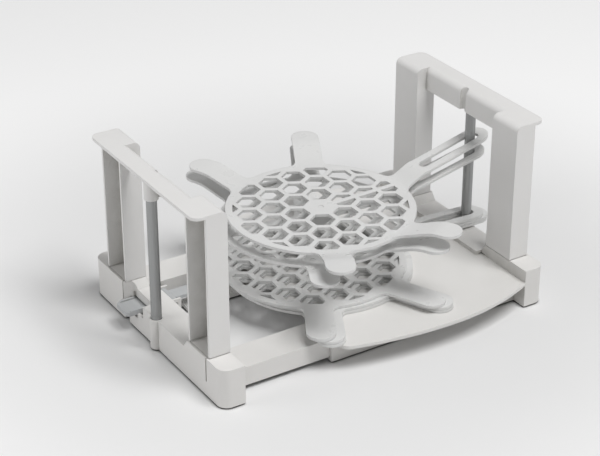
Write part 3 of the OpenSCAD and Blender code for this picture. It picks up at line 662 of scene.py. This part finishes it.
def shapeBlock(body, side, innerWall, innerTop):  # hollows, tenon socket, foot seat and seam of one block
    c, socket, seam = crossMember, crossMember["socket"], crossMember["seam"]
    footX, footY = c["footAt"][0], side * c["footAt"][1]
    near, far = span(side, c["endHollow"], c["blockEnd"] - c["wall"])
    end = block("endHollow", (c["face"] + c["wall"], near, ground), (innerWall, far, innerTop))
    roundEdge(end, c["corner"] - c["wall"], x=innerWall, y=side * (c["blockEnd"] - c["wall"]))
    cutAway(end, column("footPost", (footX, footY), c["postRadius"], ground - past, sky, sides=48))
    near, far = span(side, socket["near"], socket["far"])
    hollow = block("socketHollow", (c["face"] + socket["inset"], near, ground), (innerWall, far, innerTop))
    cutAway(body, end, hollow,
            tenonShape(side, socket["gap"], endFrame["tenonLow"] - socket["gap"], sky),
            column("footSeat", (footX, footY), c["footSeat"], ground, c["footDepth"], sides=48))
    near, far = span(side, endFrame["window"], endFrame["side"])
    groove = block("seam", (c["face"] - past, near - seam, c["top"] - seam),
                   (c["flange"] + seam, far + seam, c["top"] + past))
    cutAway(groove, block("seamInner", (c["face"] + seam, near + seam, c["top"] - 2 * past),
                          (c["flange"] - seam, far - seam, c["top"] + 2 * past)))
    cutAway(body, groove)


def makeFootBoss(name):
    c, rodAt = crossMember, endFrame["rodAt"]
    boss = column(name, (rodAt, 0), endFrame["bossRadius"], c["bottom"], c["bossTop"])
    cutAway(boss, column("rodSocket", (rodAt, 0), endFrame["rodBore"], c["rodLow"], sky),
            column("screwHole", (rodAt, 0), c["screwHole"], ground, sky, sides=32),
            column("screwRecess", (rodAt, 0), c["screwRecess"], ground, c["recessTop"], sides=48))
    return softenEdges(boss, c["bossEdge"])


# Sliding half: the deck with its bowed edges, the channels under it and the locking strip
deck = {
    "end": -43.6, "root": 124.5, "bowAt": 46.0, "half": 114.8, "shortArc": 190.97, "longArc": 324.65,
    "top": 22.2, "under": 19.6, "corner": 6.0, "sheetHalf": 130.0, "bowLow": 10.0, "bowHigh": 30.0,
    "skirt": (83.6, 86.0), "ledge": (80.4, 83.6, 3.85), "rib": (52.65, 55.05, 4.2),
    "bottom": 1.2, "ribLap": 0.3,
    "stopAt": (0.0, 11.5), "stopHole": 1.53, "stopSpan": (51.0, 57.0),
}
lockingStrip = {
    "from": -98.0, "to": -17.6, "near": 31.2, "far": 45.2, "low": 1.8, "top": 4.8, "edge": 0.3,
    "webFrom": -33.6, "webWide": 2.4, "webLap": 0.5,
    "toothLong": 1.1, "toothHigh": 0.5, "toothInset": 1.0, "toothLap": 0.4, "toothEdge": 0.15,
    "toothPitch": 2.5, "teeth": 25,
}


def makeDeckHalf(low, high, arc):  # one length of the deck between two bowed edges
    d = deck
    sheet = block("deckSheet", (low, -d["sheetHalf"], d["under"]), (high, d["sheetHalf"], d["top"]))
    for side in (-1, 1):
        at = (d["bowAt"], side * (d["half"] - arc))
        keepInside(sheet, column("bow", at, arc, d["bowLow"], d["bowHigh"], sides=288))
    return sheet


def makeLockingStrip():
    s = lockingStrip
    strip = block("lockingStrip", (s["from"], s["near"], s["low"]), (s["to"], s["far"], s["top"]))
    for near in (s["near"], s["far"] - s["webWide"]):
        buildOn(strip, block("stripWeb", (s["webFrom"], near, s["low"]),
                             (s["to"], near + s["webWide"], deck["under"] + s["webLap"])))
    softenEdges(strip, s["edge"])
    first = s["from"] + s["toothInset"]
    tooth = block("stripTooth", (first, s["near"] + s["toothInset"], s["top"] - s["toothLap"]),
                  (first + s["toothLong"], s["far"] - s["toothInset"], s["top"] + s["toothHigh"]))
    softenEdges(tooth, s["toothEdge"], segments=1)
    row = tooth.modifiers.new("row", "ARRAY")
    row.count = s["teeth"]
    row.use_relative_offset = False
    row.use_constant_offset = True
    row.constant_offset_displace = (mm(s["toothPitch"]), 0, 0)
    pick(tooth)
    bpy.ops.object.modifier_apply(modifier="row")
    return joinPieces(strip, tooth)


def makeSlidingHalf(name):
    d = deck
    body = makeCrossMember(name, 1)
    sheet = makeDeckHalf(d["end"], d["bowAt"], d["longArc"])
    buildOn(sheet, makeDeckHalf(d["bowAt"], d["root"], d["shortArc"]))
    mergeMesh(sheet)
    cornerY = max(toMm(v.co.y) for v in sheet.data.vertices if abs(toMm(v.co.x) - d["end"]) < onPlace)
    for side in (-1, 1):
        roundEdge(sheet, d["corner"], x=d["end"], y=side * cornerY)
    buildOn(body, sheet)
    intoDeck = d["under"] + d["ribLap"]
    for side in (-1, 1):
        for near, far, low, top in ((*d["skirt"], d["bottom"], intoDeck),
                                    (*d["ledge"][:2], d["bottom"], d["ledge"][2]),
                                    (*d["rib"], intoDeck)):
            a, b = span(side, near, far)
            buildOn(body, block("under", (d["end"], a, low), (d["root"], b, top)))
        cutAway(body, crossBar("stopHole", d["stopAt"], d["stopHole"], *span(side, *d["stopSpan"])))
    smoothMesh(body)
    return joinPieces(body, makeFootBoss("footBoss"), makeLockingStrip())


settle(makeSlidingHalf("rightBaseHalf"), "right_half", "right_base_half", "base_plastic")
print("plate rack: sliding half of the base made")

# Fixed half: rails, and the pocket round the release lever; drawn at the right and turned over
pocket = {
    "back": 133.0, "near": 19.0, "far": 48.9, "floor": 7.7, "mouth": 143.0, "corner": 5.0,
    "wall": 2.4, "floorThick": 1.7, "wellFrom": 41.8, "shelfTo": 121.0,
    "sideTop": 15.2, "lowTop": 11.3, "sideEnd": 28.2, "edgeFillet": 2.0, "filletTool": 20.0, "edgeLap": 0.3,
    "lap": 0.1, "drop": 0.05, "floorShort": 1.1,
    "wayNear": 27.8, "wayTop": 18.6, "wayLift": 0.01, "stripWay": (30.2, 46.2, 8.7),
    "pin": (110.0, 14.6), "pinHole": 1.53, "pinSpan": (20.0, 55.0),
    "earEnd": 105.8, "ears": ((26.2, 28.2, 120.4), (48.2, 50.2, 124.4)), "earLow": 10.8, "earTop": 18.4,
}
rails = {
    "near": 55.4, "far": 83.25, "tip": -59.8, "root": 123.3, "low": 4.2, "top": 19.25,
    "wall": 2.0, "hollowTo": 125.0, "slot": (-16.8, 41.8, 9.7, 13.3),
}


def makeRail(side):
    r = rails
    near, far = span(side, r["near"], r["far"])
    rail = block("rail", (r["tip"], near, r["low"]), (r["root"], far, r["top"]))
    cutAway(rail, block("railHollow", (r["tip"] + r["wall"], near + r["wall"], ground),
                        (r["hollowTo"], far - r["wall"], r["top"] - r["wall"])))
    a, b = span(side, r["near"] - past, r["near"] + r["wall"] + past)
    start, end, low, top = r["slot"]
    return cutAway(rail, block("stopSlot", (start, a, low), (end, b, top)))


def makePocketEdge():  # low outside edge, with a round inner corner where it meets the block
    p, outer = pocket, crossMember["wallAt"]
    inner, start, radius = outer - p["wall"], p["near"] - bite, p["edgeFillet"]
    edge = block("pocketEdge", (inner, start, p["floor"] - bite), (outer, p["sideEnd"], p["sideTop"]))
    corner = block("edgeFillet", (inner, start, p["sideTop"] - bite),
                   (outer, p["near"] + radius, p["sideTop"] + radius))
    pick(None)
    bpy.ops.mesh.primitive_cylinder_add(
        vertices=48, radius=mm(radius), depth=mm(p["filletTool"]), rotation=(0, math.radians(90), 0),
        location=metres((outer, p["near"] + radius, p["sideTop"] + radius)))
    cutAway(corner, bpy.context.object)
    return buildOn(edge, corner, block("lowEdge", (inner, p["sideEnd"] - p["edgeLap"], p["floor"] - bite),
                                       (outer, p["wellFrom"] + bite, p["lowTop"])))


def makeFixedHalf(name):
    p, c = pocket, crossMember
    body = makeCrossMember(name, -1)
    hollow = block("pocket", (p["back"], p["near"], p["floor"]), (p["mouth"], p["far"], sky))
    for y in (p["near"], p["far"]):
        roundEdge(hollow, p["corner"], x=p["back"], y=y)
    cutAway(body, hollow)
    outer, near = c["wallAt"], p["near"] - p["wall"]
    low, top = p["floor"] - p["floorThick"], c["middleTop"] - p["drop"]
    edge = makePocketEdge()
    buildOn(body, block("pocketBack", (p["back"] - p["wall"], near, low),
                        (p["back"] + p["lap"], c["window"], top)),
            block("pocketFloor", (p["shelfTo"], near, low),
                  (outer - p["floorShort"], p["wellFrom"] + p["lap"], p["floor"])),
            block("pocketSide", (p["back"], near, p["floor"] - p["lap"]), (outer - p["lap"], p["near"], top)),
            edge)
    for earNear, earFar, root in p["ears"]:
        buildOn(body, block("ear", (p["earEnd"], earNear, p["earLow"]), (root, earFar, p["earTop"])))
    wayNear, wayFar, wayTop = p["stripWay"]
    cutAway(body, crossBar("pinHole", p["pin"], p["pinHole"], *p["pinSpan"]),
            block("well", (p["back"], p["wellFrom"], ground), (outboard, p["far"], p["floor"] + p["drop"])),
            block("leverWay", (c["middle"] - past, p["wayNear"], p["floor"] + p["wayLift"]),
                  (p["back"] + p["corner"], p["far"], p["wayTop"])),
            block("stripWay", (c["middle"] - past, wayNear, ground),
                  (c["middle"] + p["wall"] + past, wayFar, wayTop)))
    buildOn(body, makeRail(-1), makeRail(1))
    smoothMesh(body)
    return turnToLeft(joinPieces(body, makeFootBoss("footBoss")))


settle(makeFixedHalf("leftBaseHalf"), "left_half", "left_base_half", "base_plastic")
print("plate rack: fixed half of the base made")

# Release lever: thumb tab with two raised rims, on an arm that ends in a pad
lever = {
    "tip": 150.0, "near": 28.6, "far": 47.8, "low": 14.3, "top": 17.3, "tabCorner": 3.0, "lap": 0.5,
    "hub": (110.0, 14.6), "hubRadius": 3.2, "hubInset": 0.05, "pinBore": 1.58, "boreSpan": (20.0, 60.0),
    "rimWide": 1.8, "rimHigh": 1.1, "rimFrom": 134.5, "rimTo": 147.0, "rimRound": 1.0,
    "armNear": 32.2, "armFar": 44.2, "armTop": 16.8, "padFrom": 76.0, "padTo": 82.0, "padLow": 5.6,
}


def makeLever(name):
    v = lever
    tab = block(name, (v["hub"][0], v["near"], v["low"]), (v["tip"], v["far"], v["top"]))
    for y in (v["near"], v["far"]):
        roundEdge(tab, v["tabCorner"], x=v["tip"], y=y)
    rimTop = v["top"] + v["rimHigh"]
    for y in (v["near"], v["far"] - v["rimWide"]):
        rim = block("rim", (v["rimFrom"], y, v["top"] - v["lap"]), (v["rimTo"], y + v["rimWide"], rimTop))
        roundEdge(rim, v["rimRound"], segments=4, x=v["rimTo"], z=rimTop)
        buildOn(tab, rim)
    buildOn(tab, block("arm", (v["padFrom"], v["armNear"], v["low"]),
                       (v["hub"][0] + v["lap"], v["armFar"], v["armTop"])),
            block("pad", (v["padFrom"], v["armNear"], v["padLow"]),
                  (v["padTo"], v["armFar"], v["low"] + v["lap"])),
            crossBar("hub", v["hub"], v["hubRadius"], v["near"] + v["hubInset"], v["far"] - v["hubInset"]))
    cutAway(tab, crossBar("hubBore", v["hub"], v["pinBore"], *v["boreSpan"]))
    smoothMesh(tab)
    return turnToLeft(tab)


settle(makeLever("thumbLever"), "lever", "release_lever", "lever_plastic")
print("plate rack: release lever made")

# Return spring: steel wire wound in four turns, which the lever squashes
spring = {
    "at": (-127.0, 34.8), "radius": 2.8, "wire": 0.45, "low": 7.7, "turns": 4, "climb": 1.375,
    "pressed": 0.81,  # share of its height that is left when the lever is down
}


def makeSpring(name):
    w = spring
    pick(None)
    bpy.ops.mesh.primitive_circle_add(
        vertices=16, radius=mm(w["wire"]), fill_type="NOTHING",
        location=(mm(w["radius"]), 0, 0), rotation=(math.radians(90), 0, 0))
    coil = newShape(name)
    winding = coil.modifiers.new("winding", "SCREW")
    winding.steps = 32
    winding.render_steps = 32
    winding.iterations = w["turns"]
    winding.screw_offset = mm(w["climb"])
    bpy.ops.object.modifier_apply(modifier="winding")
    editAll(coil)
    bpy.ops.mesh.fill_holes(sides=0)  # the wire's two cut ends
    bpy.ops.object.mode_set(mode="OBJECT")
    coil.location = metres((*w["at"], w["low"] + w["wire"]))
    fixPlace()
    return smoothMesh(coil)


returnSpring = makeSpring("returnSpring")
settle(returnSpring, "left_half", "lever_spring", "steel")
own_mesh(returnSpring)
print("plate rack: return spring made")

# Guide rods: tubes with a small chamfer at each end and a turned line above the foot
guideRod = {
    "at": 140.3, "radius": 4.0, "bore": 2.05, "low": 12.0, "high": 139.0, "edge": 0.4,
    "line": (28.6, 29.2), "lineDepth": 0.25, "lineTool": 2.0, "lineCore": 60.0,
}


def makeRod(name):
    g = guideRod
    at = (g["at"], 0)
    rod = column(name, at, g["radius"], g["low"], g["high"], sides=72)
    cutAway(rod, column("bore", at, g["bore"], g["low"] - past, g["high"] + past, sides=48))
    softenEdges(rod, g["edge"])
    groove = column("turnedLine", at, g["radius"] + g["lineTool"], *g["line"], sides=72)
    cutAway(groove, column("lineBottom", at, g["radius"] - g["lineDepth"], ground, g["lineCore"], sides=72))
    return smoothMesh(cutAway(rod, groove))


rightRod = makeRod("rightGuideRod")
leftRod = turnToLeft(copyPiece(rightRod, "leftGuideRod"))
settle(rightRod, "right_half", "right_guide_rod", "rod_metal")
settle(leftRod, "left_half", "left_guide_rod", "rod_metal")
print("plate rack: guide rods made")

# Stars: a honeycomb disc with four fingers and a slotted fork; two in use, three stored
star = {
    "disc": 72.0, "thick": 2.2, "pitch": 20.7, "rib": 3.8, "ring": 5.5, "cellRows": 4, "openCut": (-3.0, 6.0),
    "strap": 4.4, "strapEnd": 71.0, "gateMark": 2.2, "gateDepth": 0.3, "gateCut": 5.0,
    "fingerTip": 116.0, "halfWide": 10.8, "fingerAngles": (63.3, 116.3, -63.3, -116.3),
    "forkTip": 155.5, "slotFrom": 96.6, "slotTo": 143.3, "slotRadius": 4.3, "reach": 140.5,
    "riseStart": 68.0, "steps": 10, "rootFillet": 7.0, "ribbon": 50.0, "cutLow": -5.0, "cutHigh": 60.0,
    "tipRound": 0.999,  # share of the half width: just less than a full half circle
    "inUse": {"finger": (102.0, 8.6, 0.0), "fork": (93.0, 9.2, 0.24)},  # knee, rise and slope of an arm
    "stored": {"finger": (102.0, 0.0, 0.0), "fork": (111.0, 4.8, 0.0)},
}


def armHeight(reach, knee, rise, slope):  # smooth rise up to the knee, then a straight slope
    share = min(1.0, max(0.0, (reach - star["riseStart"]) / (knee - star["riseStart"])))
    return rise * share * share * (3 - 2 * share) + slope * max(0.0, reach - knee)


def makeRibbon(name, root, tip, bend):  # a wide sheet drawn out along the rise of an arm
    s = star
    knee = bend[0]
    bends = [s["riseStart"] + (knee - s["riseStart"]) * i / s["steps"] for i in range(s["steps"] + 1)]
    reaches = [root] + bends + [tip + past]
    pick(None)
    bpy.ops.mesh.primitive_plane_add(
        size=1, location=(mm(root), 0, mm(s["thick"] / 2)), rotation=(0, math.radians(90), 0))
    ribbon = bpy.context.object
    ribbon.name = name
    ribbon.scale = (mm(s["thick"]), mm(s["ribbon"]), 1)
    fixPlace()
    bpy.ops.object.mode_set(mode="EDIT")
    bpy.ops.mesh.select_mode(type="FACE")
    bpy.ops.mesh.select_all(action="SELECT")
    for here, there in zip(reaches, reaches[1:]):
        climb = armHeight(there, *bend) - armHeight(here, *bend)
        bpy.ops.mesh.extrude_region_move(TRANSFORM_OT_translate={"value": (mm(there - here), 0, mm(climb))})
    bpy.ops.mesh.select_all(action="SELECT")
    bpy.ops.mesh.normals_make_consistent(inside=False)
    bpy.ops.object.mode_set(mode="OBJECT")
    return ribbon


def makeArm(name, tip, bend):  # the ribbon trimmed to the arm's outline, which widens into the disc
    s = star
    root = s["disc"] - s["ring"]
    ribbon = makeRibbon(name, root, tip, bend)
    half, fillet, low, high = s["halfWide"], s["rootFillet"], s["cutLow"], s["cutHigh"]
    centre = math.sqrt((s["disc"] + fillet) ** 2 - (half + fillet) ** 2)
    share = s["disc"] / (s["disc"] + fillet)
    outline = block("armOutline", (root, -half, low), (tip, half, high))
    for side in (-1, 1):
        roundEdge(outline, half * s["tipRound"], segments=14, x=tip, y=side * half)
    roots = block("armRoots", (root, -(half + fillet) * share, low), (centre, (half + fillet) * share, high))
    for side in (-1, 1):
        cutAway(roots, column("rootFillet", (centre, side * (half + fillet)), fillet, low - past, high + past))
    return keepInside(ribbon, buildOn(outline, roots))


def makeHoneycomb():  # the open cells of the disc, as one cutting shape
    s = star
    rows = range(-s["cellRows"], s["cellRows"] + 1)
    radius = (s["pitch"] - s["rib"]) / math.sqrt(3)
    cells = []
    for i in rows:
        for j in rows:
            at = (s["pitch"] * (i + j / 2), s["pitch"] * j * math.sin(math.radians(60)))
            if past < math.hypot(*at) < s["disc"] + past:
                cells.append(column("cell", at, radius, -past, s["thick"] + past, sides=6))
    honeycomb = joinPieces(cells[0], *cells[1:])
    return keepInside(honeycomb, column("openPart", (0, 0), s["disc"] - s["ring"], *s["openCut"], sides=144))


def makeStar(name, bends):
    s = star
    body = column(name, (0, 0), s["disc"], 0, s["thick"], sides=144, ends="TRIFAN")
    finger = makeArm("finger", s["fingerTip"], bends["finger"])
    for angle in s["fingerAngles"]:
        arm = copyPiece(finger, "fingerCopy")
        arm.rotation_euler.z = math.radians(angle)
        fixPlace()
        buildOn(body, arm)
    bpy.data.objects.remove(finger)
    fork = makeArm("fork", s["forkTip"], bends["fork"])
    cutAway(fork, column("slotStart", (s["slotFrom"], 0), s["slotRadius"], s["cutLow"], s["cutHigh"]),
            column("slotEnd", (s["slotTo"], 0), s["slotRadius"], s["cutLow"], s["cutHigh"]),
            block("slot", (s["slotFrom"], -s["slotRadius"], s["cutLow"]),
                  (s["slotTo"], s["slotRadius"], s["cutHigh"])))
    buildOn(body, fork)
    cutAway(body, makeHoneycomb())
    buildOn(body, block("strap", (0, -s["strap"] / 2, 0), (s["strapEnd"], s["strap"] / 2, s["thick"])))
    cutAway(body, column("gateMark", (0, 0), s["gateMark"], s["thick"] - s["gateDepth"], s["gateCut"], sides=32))
    return smoothMesh(body)


def hangStar(piece, z, turn, slide):  # its fork goes round the right-hand rod
    rodPlace = Matrix.Translation((mm(guideRod["at"]), 0, mm(z)))
    turned = rodPlace @ Matrix.Rotation(math.radians(turn), 4, "Z")
    piece.matrix_world = turned @ Matrix.Translation((mm(slide - star["reach"]), 0, 0))
    return piece


starPlaces = {
    "holdDownStar": ("inUse", 77.4, 1.2, 0.0, "upper_star", "hold_down_star"),
    "separatorStar": ("inUse", 64.8, -1.5, -2.9, "lower_star", "separator_star"),
    "storedStarLow": ("stored", 22.4, -1.7, 3.4, "star_stack", "stored_star_1"),
    "storedStarMiddle": ("stored", 24.8, -1.9, 3.5, "star_stack", "stored_star_2"),
    "storedStarHigh": ("stored", 27.2, -2.8, -0.9, "star_stack", "stored_star_3"),
}
starPatterns = {kind: makeStar("pattern" + kind, star[kind]) for kind in ("inUse", "stored")}
for starName, (kind, z, turn, slide, bodyName, cadName) in starPlaces.items():
    settle(hangStar(copyPiece(starPatterns[kind], starName), z, turn, slide), bodyName, cadName, "star_plastic")
for pattern in starPatterns.values():
    bpy.data.objects.remove(pattern)
print("plate rack: stars made")
